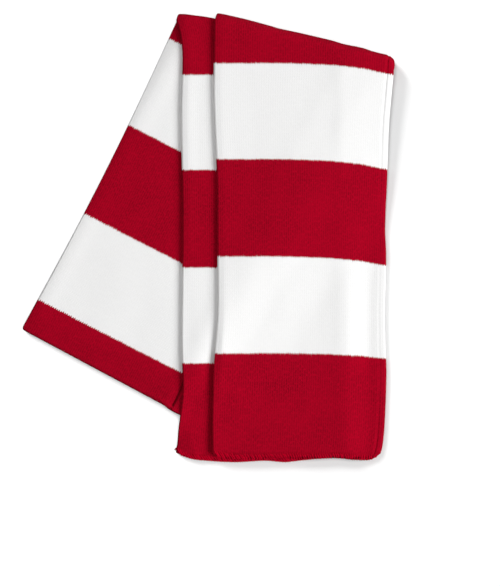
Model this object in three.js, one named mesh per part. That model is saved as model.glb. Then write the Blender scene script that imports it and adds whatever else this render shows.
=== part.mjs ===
import * as THREE from 'three';

// A long knitted scarf: one striped tube, pressed flat, folded in half and then over again.
// It lies on a surface. Millimetres, +Y along the two hanging ends towards the top folds, +Z up.
// Four stretches of the same tube lie on each other, from the surface upwards:
// middle_back, middle_front, under_end and upper_end.

// Cloth
const PLY = 2;
const CLOTH = 2 * PLY;
const GAP = 0.3;
const LAYER = CLOTH + GAP;
const SIDE_ROUND = 2.6;
const RED = '#a5001f';

// Pressed crease beside the upper end's right edge
const CREASE_FROM_EDGE = 6.5;
const CREASE_WIDTH = 4.5;
const CREASE_DEPTH = 0.8;

// Hem: the open ends of the tube, closed by a seam that presses the cloth
const SEAM_FROM_HEM = 5.5;
const SEAM_DEPTH = 0.9;
const HEM_TIP = 0.35;
const HEM_ROWS = [0, 0.8, 2.4, SEAM_FROM_HEM];

// How cloth comes down beside the edge of a layer below it, wider for each layer between
const LAP = { first: 9, more: 5 };
const DROP = { first: 18, more: 8 };

// Rows and columns of the sections
const LATTICE_ROWS = 28;
const MIDDLE_ROWS = 24;
const BACK_ROWS = 4;
const FOLD_STEPS = 8;
const LATTICE_BOTTOM = -205;
const LATTICE_BELOW_FOLD = 16;
const SHARED_COLUMNS = [20, 34, 48, 62, 76, 90, 104, 118, 130];
const UNDER_END_SIDE = 143;

// Side edges of the two ends, a row for each section
const UPPER_END_SIDES = [
  { y: -222, left: 5, right: 167.5 },
  { y: -217, left: 4.8, right: 171.2 },
  { y: -205, left: 4.5, right: 174.3 },
  { y: -180, left: 4.5, right: 176.6 },
  { y: -135, left: 5.5, right: 178 },
  { y: -114, left: 7, right: 177.3 },
  { y: -75, left: 9.5, right: 176.8 },
  { y: 10, left: 9.2, right: 177.3 },
  { y: 60, left: 9, right: 179.3 },
  { y: 112, left: 6.6, right: 180.4 },
  { y: 148, left: 5.5, right: 183.5 },
  { y: 170, left: 5.5, right: 185.5 },
  { y: 224, left: 7.5, right: 186 },
];
const UNDER_END_SIDES = [
  { y: -224, left: -31, right: 139 },
  { y: -212, left: -32.4, right: 141.5 },
  { y: -192, left: -29.5, right: UNDER_END_SIDE },
  { y: -154, left: -24.5, right: UNDER_END_SIDE },
  { y: -107, left: -26, right: UNDER_END_SIDE },
  { y: 18, left: -25, right: UNDER_END_SIDE },
  { y: 128, left: -26.5, right: UNDER_END_SIDE },
  { y: 182, left: -24.5, right: UNDER_END_SIDE },
  { y: 205, left: -27.5, right: UNDER_END_SIDE },
  { y: 218, left: -31.2, right: UNDER_END_SIDE },
  { y: 224, left: -31.5, right: UNDER_END_SIDE },
];

// Hem lines of the two ends, slightly scalloped
const UPPER_HEM = [
  { x: 5, y: -215.5 },
  { x: 22, y: -219.2 },
  { x: 42, y: -221.4 },
  { x: 73, y: -219.5 },
  { x: 104, y: -221.3 },
  { x: 137, y: -220.6 },
  { x: 165, y: -221.8 },
  { x: 172, y: -217 },
];
const UNDER_HEM = [
  { x: -32, y: -215 },
  { x: -24, y: -218.6 },
  { x: -12, y: -221.6 },
  { x: 26, y: -224 },
  { x: 58, y: -222.6 },
  { x: 78, y: -224 },
  { x: 92, y: -222.6 },
  { x: 142, y: -217.5 },
];

// Outer lines of the three folds
const UPPER_FOLD = [
  { x: 8, y: 225.1 },
  { x: 92, y: 204.9 },
  { x: 182, y: 182 },
];
const UNDER_FOLD = [
  { x: -31, y: 224.6 },
  { x: 0, y: 220.8 },
  { x: 40, y: 211.5 },
  { x: 143, y: 184 },
];
const BOTTOM_FOLD = { left: new THREE.Vector2(-187, -91.5), right: new THREE.Vector2(-40, -170) };
const UPPER_CORNERS = { left: 1.5, right: 8 };
const UNDER_CORNERS = { left: 3, right: 3 };
const BOTTOM_CORNERS = { left: 2, right: 0 };

// The middle's side edge bows a little, and its back flares beyond its front at the bottom fold
const FRONT_BOW = 3.6;
const BACK_FLARE = 17;

const UP = new THREE.Vector3(0, 0, 1);

// Corners of the layers that others lie on, anticlockwise from the bottom left
const MIDDLE_BACK_CORNERS = [[-184, -93], [-24, -178], [186, 182], [8, 225]];
const MIDDLE_FRONT_CORNERS = [[-184, -93], [-40, -170], [146, 184], [-31, 222]];
const UNDER_END_CORNERS = [[-31, -221], [UNDER_END_SIDE, -221], [UNDER_END_SIDE, 184], [-29, 224]];
const STACK = [MIDDLE_BACK_CORNERS, MIDDLE_FRONT_CORNERS, UNDER_END_CORNERS];
const [BACK, FRONT, UNDER, UPPER] = [0, 1, 2, 3];

// A smooth value of one column of a table, at a place along its key column
function lookUp(rows, key, column, at) {
  const last = rows.length - 1;
  let i = 0;
  while (i < last - 1 && at > rows[i + 1][key]) i += 1;
  const slope = (a, b) => (rows[b][column] - rows[a][column]) / (rows[b][key] - rows[a][key]);
  const span = rows[i + 1][key] - rows[i][key];
  const t = THREE.MathUtils.clamp((at - rows[i][key]) / span, 0, 1);
  const start = slope(Math.max(i - 1, 0), i + 1) * span;
  const end = slope(i, Math.min(i + 2, last)) * span;
  const [a, b] = [rows[i][column], rows[i + 1][column]];
  const rise = 3 * (b - a) - 2 * start - end;
  const turn = 2 * (a - b) + start + end;
  return a + t * (start + t * (rise + t * turn));
}

// How much of a layer's height is felt at a place: 1 on it and close beside it, 0 far from it
function cover(corners, x, y, layersUp) {
  let inside = Infinity;
  corners.forEach(([ax, ay], i) => {
    const [bx, by] = corners[(i + 1) % corners.length];
    const length = Math.hypot(bx - ax, by - ay);
    inside = Math.min(inside, ((bx - ax) * (y - ay) - (by - ay) * (x - ax)) / length);
  });
  const lap = LAP.first + LAP.more * (layersUp - 1);
  const drop = DROP.first + DROP.more * (layersUp - 1);
  return THREE.MathUtils.smoothstep(inside, -lap - drop, -lap);
}

// Height of a layer's underside at a place: the layers below it, summed
function underside(layer, x, y) {
  let height = 0;
  for (let below = 0; below < layer; below += 1) {
    height += LAYER * cover(STACK[below], x, y, layer - below);
  }
  return height;
}

// Half the cloth's thickness at a distance from its side edge, which is round
function halfThickness(fromEdge) {
  const short = 1 - Math.min(fromEdge / SIDE_ROUND, 1);
  return (CLOTH / 2) * Math.sqrt(1 - short * short);
}

// How far a rounded corner draws a fold's line in, at a distance from the side edge
function cornerDraw(radius, fromEdge) {
  const short = Math.max(radius - fromEdge, 0);
  return radius - Math.sqrt(radius * radius - short * short);
}

// Columns of a section: places held from the left edge, at fixed x, and from the right edge
const EDGE_STEPS = [0, 0.7, SIDE_ROUND];
const fromLeft = (steps) => steps.map((off) => ({ side: 'left', off }));
const fromRight = (steps) => [...steps].reverse().map((off) => ({ side: 'right', off }));
const fixed = (places) => places.map((x) => ({ side: 'none', x }));

// Place of a column at a height y, and how far it is from the nearer edge
function columnAt(column, sides, y) {
  const left = lookUp(sides, 'y', 'left', y);
  const right = lookUp(sides, 'y', 'right', y);
  let x = column.x;
  if (column.side === 'left') x = left + column.off;
  if (column.side === 'right') x = right - column.off;
  return { x, fromEdge: Math.min(x - left, right - x), fromRightEdge: right - x };
}

// One point of a section: the middle of the cloth, the way to its outer face, and the
// distances out to the outer face and in to the inner face
function cell(centre, outward, half, dent = 0) {
  return { centre, outward, out: half - dent, in: half };
}

// Closed solid through sections of cells that run across the cloth, one section after another
function clothSolid(sections) {
  const across = sections[0].length;
  const ringSize = 2 * across - 2;
  const positions = [];
  const face = (c, distance) => c.centre.clone().addScaledVector(c.outward, distance);
  sections.forEach((cells) => {
    const ring = cells.map((c) => face(c, -c.in));
    for (let i = across - 2; i > 0; i -= 1) ring.push(face(cells[i], cells[i].out));
    ring.forEach((p) => positions.push(p.x, p.y, p.z));
  });
  const indices = [];
  for (let s = 0; s < sections.length - 1; s += 1) {
    for (let i = 0; i < ringSize; i += 1) {
      const a = s * ringSize + i;
      const b = s * ringSize + ((i + 1) % ringSize);
      indices.push(a, a + ringSize, b, b, a + ringSize, b + ringSize);
    }
  }
  const capEnd = (base, flip) => {
    const inner = (i) => base + i;
    const outer = (i) => base + (i === 0 ? 0 : i === across - 1 ? across - 1 : ringSize - i);
    const add = (a, b, c) => indices.push(...(flip ? [a, c, b] : [a, b, c]));
    add(inner(0), inner(1), outer(1));
    for (let i = 1; i < across - 2; i += 1) {
      add(inner(i), inner(i + 1), outer(i));
      add(outer(i), inner(i + 1), outer(i + 1));
    }
    add(inner(across - 2), inner(across - 1), outer(across - 2));
  };
  capEnd(0, false);
  capEnd((sections.length - 1) * ringSize, true);
  const geometry = new THREE.BufferGeometry();
  geometry.setAttribute('position', new THREE.Float32BufferAttribute(positions, 3));
  geometry.setIndex(indices);
  geometry.computeVertexNormals();
  return geometry;
}

// Sections of a half-round fold, from the upper cloth's last section down to the lower cloth
function foldSections(starts, ends, outward) {
  const sections = [];
  for (let step = 1; step <= FOLD_STEPS; step += 1) {
    const angle = (Math.PI * step) / FOLD_STEPS;
    const down = (1 - Math.cos(angle)) / 2;
    sections.push(starts.map((start, i) => {
      const radius = (start.centre.z - ends[i].z) / 2;
      const centre = start.centre.clone().lerp(ends[i], down);
      centre.addScaledVector(outward, radius * Math.sin(angle));
      const way = UP.clone().multiplyScalar(Math.cos(angle)).addScaledVector(outward, Math.sin(angle));
      return cell(centre, way, start.in);
    }));
  }
  return sections;
}

// Direction square to a fold line in plan, pointing away from the cloth
function squareTo(left, right) {
  const along = new THREE.Vector2().subVectors(right, left).normalize();
  return new THREE.Vector3(-along.y, along.x, 0);
}
const lineWay = (line) => {
  const [first, last] = [line[0], line[line.length - 1]];
  return squareTo(new THREE.Vector2(first.x, first.y), new THREE.Vector2(last.x, last.y));
};
const UPPER_WAY = lineWay(UPPER_FOLD);
const UNDER_WAY = lineWay(UNDER_FOLD);
const BOTTOM_WAY = squareTo(BOTTOM_FOLD.right, BOTTOM_FOLD.left);

// One hanging end: from its hem, over what it lies on, to the line where its top fold begins
function endSections(end) {
  const { layer, sides, hem, fold, corners, columns, lowerHeight } = end;
  const nominal = columns.map((column) => columnAt(column, sides, 0).x);
  const foldStart = columns.map((column, i) => {
    const y = lookUp(fold, 'x', 'y', nominal[i]);
    const { x, fromEdge, fromRightEdge } = columnAt(column, sides, y - SIDE_ROUND);
    const nearRight = fromRightEdge <= fromEdge;
    const draw = cornerDraw(nearRight ? corners.right : corners.left, fromEdge);
    const outline = lookUp(fold, 'x', 'y', x) - draw;
    const reach = (underside(layer, x, outline - CLOTH) + CLOTH - lowerHeight(x, outline)) / 2;
    return outline - reach / end.way.y;
  });
  const rowHeights = HEM_ROWS.map((up) => columns.map((column) => (
    lookUp(hem, 'x', 'y', columnAt(column, sides, LATTICE_BOTTOM).x) + up
  )));
  for (let row = 0; row <= LATTICE_ROWS; row += 1) {
    rowHeights.push(nominal.map((x) => {
      const top = lookUp(UPPER_FOLD, 'x', 'y', x) - LATTICE_BELOW_FOLD;
      return THREE.MathUtils.lerp(LATTICE_BOTTOM, top, row / LATTICE_ROWS);
    }));
  }
  rowHeights.push(foldStart);
  return rowHeights.map((heights, row) => columns.map((column, i) => {
    const y = heights[i];
    const { x, fromEdge, fromRightEdge } = columnAt(column, sides, y);
    const hemShare = row < HEM_ROWS.length ? HEM_ROWS[row] / SEAM_FROM_HEM : 1;
    const nearHem = row < HEM_ROWS.length ? Math.max(HEM_TIP, Math.min(1, 2 * hemShare)) : 1;
    const half = halfThickness(fromEdge) * nearHem;
    const seam = row === HEM_ROWS.length - 1 ? SEAM_DEPTH : 0;
    const crease = Math.abs(fromRightEdge - CREASE_FROM_EDGE) < 0.01 ? end.creaseDepth : 0;
    const dent = Math.min(Math.max(seam, crease), half);
    const z = underside(layer, x, y) + CLOTH / 2;
    return cell(new THREE.Vector3(x, y, z), UP, half, dent);
  }));
}

const UNDER_COLUMNS = [
  ...fromLeft(EDGE_STEPS),
  ...fixed([-14, -2, 8, ...SHARED_COLUMNS]),
  ...fromRight(EDGE_STEPS),
];
const UPPER_COLUMNS = [
  ...fromLeft(EDGE_STEPS),
  ...fixed([...SHARED_COLUMNS, UNDER_END_SIDE - SIDE_ROUND, UNDER_END_SIDE, 149, 155]),
  ...fromRight([...EDGE_STEPS, CREASE_FROM_EDGE, CREASE_FROM_EDGE + CREASE_WIDTH]),
];

// The upper end folds over the top of everything, down to the back on the surface
const upperEnd = endSections({
  layer: UPPER,
  sides: UPPER_END_SIDES,
  hem: UPPER_HEM,
  fold: UPPER_FOLD,
  corners: UPPER_CORNERS,
  columns: UPPER_COLUMNS,
  lowerHeight: () => 0,
  way: UPPER_WAY,
  creaseDepth: CREASE_DEPTH,
});
const upperFoldEnds = upperEnd[upperEnd.length - 1].map(({ centre }) => (
  new THREE.Vector3(centre.x, centre.y, CLOTH / 2)
));
const upperFold = foldSections(upperEnd[upperEnd.length - 1], upperFoldEnds, UPPER_WAY);

// The under end folds over the top of the middle's front
const underEnd = endSections({
  layer: UNDER,
  sides: UNDER_END_SIDES,
  hem: UNDER_HEM,
  fold: UNDER_FOLD,
  corners: UNDER_CORNERS,
  columns: UNDER_COLUMNS,
  lowerHeight: (x, y) => underside(FRONT, x, y - CLOTH),
  way: UNDER_WAY,
  creaseDepth: 0,
});
const underFoldEnds = underEnd[underEnd.length - 1].map(({ centre }) => (
  new THREE.Vector3(centre.x, centre.y, underside(FRONT, centre.x, centre.y) + CLOTH / 2)
));
const underFold = foldSections(underEnd[underEnd.length - 1], underFoldEnds, UNDER_WAY);

// Points along the line where the bottom fold begins, for the columns of the stretch above it
function bottomLine(fractions, radius, flare) {
  const line = new THREE.Vector2().subVectors(BOTTOM_FOLD.right, BOTTOM_FOLD.left);
  const width = line.length();
  return fractions.map((fraction) => {
    const fromEdge = Math.min(fraction, 1 - fraction) * width;
    const corner = fraction < 0.5 ? BOTTOM_CORNERS.left : BOTTOM_CORNERS.right;
    const inward = radius + cornerDraw(corner, fromEdge);
    const along = fraction * (1 + flare / width);
    return new THREE.Vector3(
      BOTTOM_FOLD.left.x + line.x * along - BOTTOM_WAY.x * inward,
      BOTTOM_FOLD.left.y + line.y * along - BOTTOM_WAY.y * inward,
      0,
    );
  });
}

// Distance of each column from the nearer edge, and its share of the way across, in a section
function spread(points) {
  const [first, last] = [points[0], points[points.length - 1]];
  const width = first.distanceTo(last);
  return points.map((p) => ({
    fraction: p.distanceTo(first) / width,
    fromEdge: Math.min(p.distanceTo(first), p.distanceTo(last)),
  }));
}

// A line of points one gap back from a fold, and one gap in from its two ends
function stepBack(points, way) {
  const along = points[points.length - 1].clone().sub(points[0]).setZ(0).normalize();
  return spread(points).map(({ fraction }, i) => (
    points[i].clone().addScaledVector(way, -GAP).addScaledVector(along, GAP * (1 - 2 * fraction))
  ));
}

// A middle stretch between a top line and a bottom line, laid on the layers below it
function middleSections(layer, tops, bottoms, rows, bow) {
  const columns = spread(tops);
  const sections = [];
  for (let row = 0; row <= rows; row += 1) {
    const down = row / rows;
    sections.push(tops.map((top, i) => {
      const place = top.clone().lerp(bottoms[i], down);
      place.x += bow * Math.sin(Math.PI * down) * (1 - columns[i].fraction);
      place.z = underside(layer, place.x, place.y) + CLOTH / 2;
      return cell(place, UP, halfThickness(columns[i].fromEdge));
    }));
  }
  return sections;
}

// The front of the middle, from under the top fold to the bottom fold and round it
const frontTops = stepBack(underFoldEnds, UNDER_WAY);
const frontColumns = spread(frontTops).map(({ fraction }) => fraction);
const bottomRadius = (LAYER + CLOTH) / 2;
const frontBottoms = bottomLine(frontColumns, bottomRadius, 0);
const middleFront = middleSections(FRONT, frontTops, frontBottoms, MIDDLE_ROWS, FRONT_BOW);
const bottomFoldEnds = bottomLine(frontColumns, bottomRadius, BACK_FLARE);
bottomFoldEnds.forEach((p) => p.setZ(CLOTH / 2));
const bottomFold = foldSections(middleFront[MIDDLE_ROWS], bottomFoldEnds, BOTTOM_WAY);

// The back of the middle, flat on the surface between the two folds
const backTops = stepBack(upperFoldEnds, UPPER_WAY);
const backColumns = spread(backTops).map(({ fraction }) => fraction);
const backBottoms = stepBack(bottomLine(backColumns, bottomRadius, BACK_FLARE), BOTTOM_WAY);
const middleBack = middleSections(BACK, backTops, backBottoms, BACK_ROWS, 0);

const scarf = new THREE.Group();
scarf.name = 'knit_scarf';
function addStretch(name, sections) {
  const material = new THREE.MeshStandardMaterial({ color: RED, roughness: 0.95, metalness: 0 });
  const mesh = new THREE.Mesh(clothSolid(sections), material);
  mesh.name = name;
  scarf.add(mesh);
}
// The middle's sections follow each other downwards, so each is taken from right to left
const mirrored = (sections) => sections.map((cells) => [...cells].reverse());
addStretch('middle_back', mirrored(middleBack));
addStretch('middle_front', mirrored([...middleFront, ...bottomFold]));
addStretch('under_end', [...underEnd, ...underFold]);
addStretch('upper_end', [...upperEnd, ...upperFold]);

// The origin is on the surface, under the middle of the whole
const box = new THREE.Box3().setFromObject(scarf);
const middle = box.getCenter(new THREE.Vector3());
scarf.children.forEach((mesh) => mesh.geometry.translate(-middle.x, -middle.y, -box.min.z));

export default scarf;
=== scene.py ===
# %% [markdown]
# # A folded knit scarf
# The real thing is one seamless striped tube, pressed flat, folded in half and then over again.
# The solids give each stretch's place and rough form. This scene gives each stretch its knitted
# skin: a thin tube of cloth on the solid's form, with ribbed stitch columns, soft creases,
# striped yarn and sewn hems.

# %% Load the frame
import bpy
import numpy as np
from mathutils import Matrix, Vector


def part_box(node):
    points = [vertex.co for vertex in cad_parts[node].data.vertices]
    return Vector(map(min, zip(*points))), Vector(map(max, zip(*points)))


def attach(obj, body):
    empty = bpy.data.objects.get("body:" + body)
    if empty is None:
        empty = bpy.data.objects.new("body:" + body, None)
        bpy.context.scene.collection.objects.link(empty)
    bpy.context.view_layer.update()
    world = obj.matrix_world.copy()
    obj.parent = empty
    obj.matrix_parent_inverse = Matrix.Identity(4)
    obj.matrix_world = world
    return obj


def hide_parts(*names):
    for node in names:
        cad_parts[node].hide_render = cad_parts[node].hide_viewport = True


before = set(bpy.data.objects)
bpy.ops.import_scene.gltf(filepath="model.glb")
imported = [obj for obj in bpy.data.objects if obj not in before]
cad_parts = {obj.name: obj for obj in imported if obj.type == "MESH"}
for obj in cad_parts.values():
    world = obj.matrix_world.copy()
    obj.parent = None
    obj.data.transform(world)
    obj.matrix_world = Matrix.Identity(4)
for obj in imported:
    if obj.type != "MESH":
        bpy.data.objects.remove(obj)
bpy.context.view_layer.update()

MM = 0.001

# %% [markdown]
# ## Sizes of the cloth
# A knitted ply is about 2 mm thick, and the flat tube has two of them. A wale is one column of
# stitches, a course one row. The four layers lie on each other with a hair of air between them.
# Sizes could be typed in where they are used, but the skins, hems and stripes all need the same
# ones, so they are named once here.

# %% Cloth sizes, in millimetres
RADIUS = 2.0
CLOTH = 2 * RADIUS
GAP = 0.3
LAYER = CLOTH + GAP
WALES = 78
POINTS_PER_WALE = 4
WALE_RELIEF = 0.028
UNDERSIDE = RADIUS - WALE_RELIEF
COURSES_PER_BAR = 60
BAR = 97.0
FLAT_ROWS = 100
FOLD_STEPS = 14
BACK, FRONT, UNDER, UPPER = range(4)
print("courses are", round(BAR / COURSES_PER_BAR, 2), "mm high")

# %% [markdown]
# ## Outlines in plan
# The side edges, hems and fold lines wander a little, as soft cloth does. They could be drawn by
# hand as curves in the 3-D view. Here each is a short table with a row for each section, and a
# smooth curve goes through its rows, so one number moves one place of an edge. They are the
# same edges as those of the solids.

# %% A table of sections
def table(columns, *rows):
    """A short table with named columns: each row is one section's numbers, in millimetres."""
    return np.array(list(rows), dtype=[(name, float) for name in columns.split()])


print("a table has named columns:", table("x y", (0, 0)).dtype.names)

# %% Side edges, hems and folds
UPPER_SIDES = table("y left right",
                    (-222, 5, 168.4), (-217, 4.7, 172.4), (-205, 4.2, 175.4), (-180, 4.1, 177.4),
                    (-135, 5.5, 178.9), (-114, 7, 178.2), (-75, 9.5, 177.6), (-18, 9.4, 178.6),
                    (10, 9.2, 177.6), (60, 9, 179.4), (112, 6.6, 181), (148, 5.5, 184),
                    (170, 5.8, 185.8), (224, 6.4, 186))
UNDER_SIDES = table("y left right",
                    (-224, -31.6, 138), (-212, -32.2, 140), (-206, -31, 141), (-192, -29.8, 141),
                    (-154, -25.2, 141), (-107, -26.4, 141), (18, -25.4, 141), (128, -27, 141),
                    (182, -25.4, 141), (205, -28, 141), (218, -32, 141), (224, -32.4, 141))
UPPER_HEM = table("x y", (5, -216.5), (10, -218.6), (22, -220), (42, -220.9), (73, -219.5),
                  (104, -220.6), (131, -219.7), (150, -221.4), (165, -222), (170, -220.6),
                  (173, -216.4))
UNDER_HEM = table("x y", (-32, -215), (-24, -218.6), (-12, -221.6), (26, -224), (58, -222.6),
                  (78, -224), (92, -222.6), (142, -217.5))
UPPER_FOLD = table("x y", (8, 225.1), (32, 220.1), (44, 217), (62, 212), (68, 210.1),
                   (92, 204.9), (122, 197.8), (134, 194.2), (152, 190.7), (164, 186.8),
                   (182, 182))
UNDER_FOLD = table("x y", (-31, 224.6), (0, 220.8), (40, 211.5), (143, 184))
BOTTOM_LEFT, BOTTOM_RIGHT = np.array([-187, -91.5]), np.array([-38, -171])
FRONT_BOW = 4.3
BACK_FLARE = 17.0
print("sides have", len(UPPER_SIDES), "and", len(UNDER_SIDES), "rows")


# %% Curves through the tables
def curve_through(rows, key, column, at):
    """A smooth curve through a table: on each span a cubic that has, at each row, the slope of
    the line between that row's two neighbours."""
    x, y = rows[key], rows[column]
    count = np.arange(len(x))
    before, after = np.maximum(count - 1, 0), np.minimum(count + 1, len(x) - 1)
    slope = (y[after] - y[before]) / (x[after] - x[before])
    span = np.clip(np.searchsorted(x, at) - 1, 0, len(x) - 2)
    width = x[span + 1] - x[span]
    t = np.clip((at - x[span]) / width, 0.0, 1.0)
    start, end = slope[span] * width, slope[span + 1] * width
    step = y[span + 1] - y[span]
    return y[span] + t * (start + t * (3 * step - 2 * start - end + t * (start + end - 2 * step)))


def smooth(t):
    """An S-curve from 0 to 1: three times t squared less twice t cubed, t held between 0 and 1."""
    t = np.clip(t, 0.0, 1.0)
    return t * t * (3 - 2 * t)


left_middle = curve_through(UPPER_SIDES, "y", "left", np.zeros(1))
print("halfway up, the upper end's left edge is at", left_middle.round(1), "mm")

# %% Where the tables lie
# The solids are centred on their box, so the tables move with them by the same small step.
SHIFT = np.array([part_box("upper_end")[1][0] / MM - UPPER_SIDES["right"].max(),
                  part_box("under_end")[0][1] / MM - UNDER_HEM["y"].min(), 0.0])
print("tables move by", SHIFT.round(2), "mm")

# %% [markdown]
# ## How cloth lies on cloth
# Each layer rests on the sum of the layers below it. Beside a lower layer's edge it comes down
# in a soft step, and it hardly feels the edge of a layer far below. Pressed tubes are a little
# fuller just inside their side edges, so that rim shows through as well. A cloth simulation
# could drop each layer on the next, but it would move the edges, and here they are known, so the
# height under each point is worked out instead.

# %% Corners of the four layers
MIDDLE_BACK_CORNERS = np.array([(-184, -93), (-24, -178), (186, 182), (-14, 224)], float)
MIDDLE_FRONT_CORNERS = np.array([(-184, -93), (-38, -171), (146, 184), (-31, 222)], float)
UNDER_END_CORNERS = np.array([(-31, -221), (139, -221), (139, 184), (-29, 224)], float)
UPPER_END_CORNERS = np.array([(5, -219), (176, -221), (184, 182), (7, 225)], float)
STACK = [MIDDLE_BACK_CORNERS, MIDDLE_FRONT_CORNERS, UNDER_END_CORNERS, UPPER_END_CORNERS]


def inside_distance(corners, x, y):
    """Distance in from the nearest side of a four-sided layer, negative outside it: for each
    side, the cross product of its unit direction with the way from its first corner."""
    far = []
    for (ax, ay), (bx, by) in zip(corners, np.roll(corners, -1, axis=0)):
        far.append(((bx - ax) * (y - ay) - (by - ay) * (x - ax)) / np.hypot(bx - ax, by - ay))
    return np.min(far, axis=0)


middle_of_upper = inside_distance(UPPER_END_CORNERS, 90.0, 0.0)
print("the upper end's middle is", middle_of_upper.round(1), "mm in from its sides")

# %% Height of the layers below
# Past a lower edge the cloth keeps its height for LAP, which is before the edge where it is
# negative, and is down after DROP more. RIM is how much fuller a tube is RIM_IN from its edge.
# SLACK widens the upper end's steps towards its fold, and each value named MORE is added for
# every layer that lies between.
LAP, LAP_MORE = -2.0, 4.0
DROP, DROP_MORE = 27.0, 16.0
RIM, RIM_IN, RIM_WIDTH, RIM_MORE = 0.44, 6.5, 8.0, 4.0
SLACK, SLACK_FROM, SLACK_OVER = 55.0, -60.0, 180.0


def height_below(layer, x, y):
    """Height that a layer rests at: for each layer below it, one cloth's thickness that fades
    in an S-curve past its edge, and a soft bump just inside its edge. Towards its top fold the
    upper end bridges the edges below it, so its steps are wider there."""
    height = np.zeros(np.broadcast(x, y).shape)
    slack = SLACK * smooth((y - SLACK_FROM) / SLACK_OVER) * (layer == UPPER)
    for below in range(layer):
        between = layer - below - 1
        lap, drop = LAP + LAP_MORE * between, DROP + slack + DROP_MORE * between
        inside = inside_distance(STACK[below], x, y)
        height += LAYER * smooth((inside + lap + drop) / drop)
        rim = np.exp(-((inside - RIM_IN) / (RIM_WIDTH + RIM_MORE * between)) ** 2)
        height += RIM * rim
    return height


print("upper end rests at", height_below(UPPER, np.array([90.0]), np.array([100.0])).round(2), "mm")

# %% [markdown]
# ## The tube's section
# Cut across, the pressed tube is a long flat oval: two straight plies joined by half circles.
# A flat grid with a Solidify modifier would have two plies too, but square side edges. Here a
# point goes round the oval by arc length, so every stitch column keeps its width over the side
# edges, and the outward direction is known for the ribs.

# %% Section round the tube
def tube_section(width):
    """A flat oval of that width by arc length, from the left edge over the top and back under:
    quarter circles at the edges, straight plies between. Gives the distance from the left edge,
    the height and the way it faces to the right, both from -1 to 1, and the wale count."""
    count = WALES * POINTS_PER_WALE
    step = np.arange(2 * count) / count
    half_way = width - 2 * RADIUS + np.pi * RADIUS
    arc = np.where(step <= 1, step, 2 - step) * half_way
    left = np.clip(arc / RADIUS, 0, np.pi / 2)
    right = np.clip((half_way - arc) / RADIUS, 0, np.pi / 2)
    straight = np.clip(arc - np.pi * RADIUS / 2, 0, width - 2 * RADIUS)
    across = RADIUS * (1 - np.cos(left)) + straight + RADIUS * np.cos(right)
    top = np.where(step <= 1, 1.0, -1.0)
    rise = top * np.sin(np.minimum(left, right))
    side = np.cos(right) - np.cos(left)
    return across, rise, side, step * WALES


def ribs(wale):
    """Stitch columns as low relief: a cosine that is highest on the middle of each wale."""
    return -WALE_RELIEF * np.cos(2 * np.pi * wale)


EASE, EASE_WIDTH = 1.0, 8.0


def own_rim(across, width, left, right):
    """How much fuller the tube is just inside its side edges: a soft bump at each side, less
    what the cloth eases down by on the way out to an edge, times that edge's own share."""
    near = np.minimum(across, width - across)
    side = np.where(across < width / 2, left, right)
    bump = RIM * np.exp(-((near - RIM_IN) / RIM_WIDTH) ** 2) * np.minimum(side * 2, 1)
    return bump - side * EASE * (1 - smooth(near / EASE_WIDTH))


print("round the tube there are", 2 * WALES * POINTS_PER_WALE, "points")

# %% [markdown]
# ## Soft creases
# A laid scarf isn't flat. Creases could be pushed in with a sculpting brush. Here each one is a
# long soft trough or ridge between two places that fades out at its ends. They are placed and
# sized one by one, so that no two are alike, and each is a row that can be moved or left out.

# %% Creases
CREASES = table("x0 y0 x1 y1 width height",
                (36, 190, 58, -60, 9, -0.15), (84, 150, 70, -205, 12, 0.15),
                (112, -40, 104, -210, 7, -0.15), (24, -120, 30, -215, 6, 0.2),
                (132, -150, 140, -218, 6, 0.15), (-18, 195, -18, -45, 7, 0.2),
                (-14, -20, -6, -200, 7, 0.15), (-52, 60, -120, -110, 16, 0.2),
                (-60, -60, -90, -130, 12, -0.2), (-130, -20, -70, -60, 14, 0.15),
                (178, 195, 174, 95, 14, 0.6))
CREASE_SHARE = 0.75


def creases(x, y):
    """Sum of the creases: each is a share of its height times a bell curve across it, with ends
    that fade over three tenths of its length."""
    total = np.zeros(np.broadcast(x, y).shape)
    for row in CREASES:
        dx, dy = row["x1"] - row["x0"], row["y1"] - row["y0"]
        length = np.hypot(dx, dy)
        along = ((x - row["x0"]) * dx + (y - row["y0"]) * dy) / length ** 2
        off = ((x - row["x0"]) * dy - (y - row["y0"]) * dx) / length
        ends = smooth((along + 0.1) / 0.3) * smooth((1.1 - along) / 0.3)
        total += CREASE_SHARE * row["height"] * np.exp(-(off / row["width"]) ** 2) * ends
    return total


RIPPLE = 0.038
BARE_OVER = 8.0


def ripple(x, y):
    """Faint unevenness of the knit: three crossing sine waves of 50 to 110 mm."""
    waves = np.sin(x / 9.1 + 1.3 * np.sin(y / 31)) + np.sin(y / 14.7 + x / 23 + 0.8)
    return RIPPLE * (waves + np.sin((x - y) / 17.3 + 2.1))


def bare(layer, x, y):
    """How bare a place is: 0 where another layer covers it, 1 from 8 mm outside that layer."""
    share = np.ones(np.broadcast(x, y).shape)
    for above in STACK[layer + 1:]:
        share = np.minimum(share, smooth(-inside_distance(above, x, y) / BARE_OVER))
    return share


def softness(layer, x, y):
    """Creases and ripple together, only where the layer is bare, so hidden cloth stays flat."""
    return (creases(x, y) + ripple(x, y)) * bare(layer, x, y)


highest = creases(176.0, 145.0)
print("the crease by the free side is", highest.round(2), "mm high")

# %% [markdown]
# ## From points to a knitted skin
# Seen close, the cloth is columns of stitches that run on over every fold. A bevelled curve
# could make a tube, but it would twist and stretch them there. So numpy works out every point
# of a stretch at once, as a grid with the tube's section across and its length along, and the
# grid is put into a mesh in one call. Its UV map counts stitches: u counts wales round the tube
# and v counts courses along it, so the yarn pattern follows the cloth however it is folded.

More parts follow.
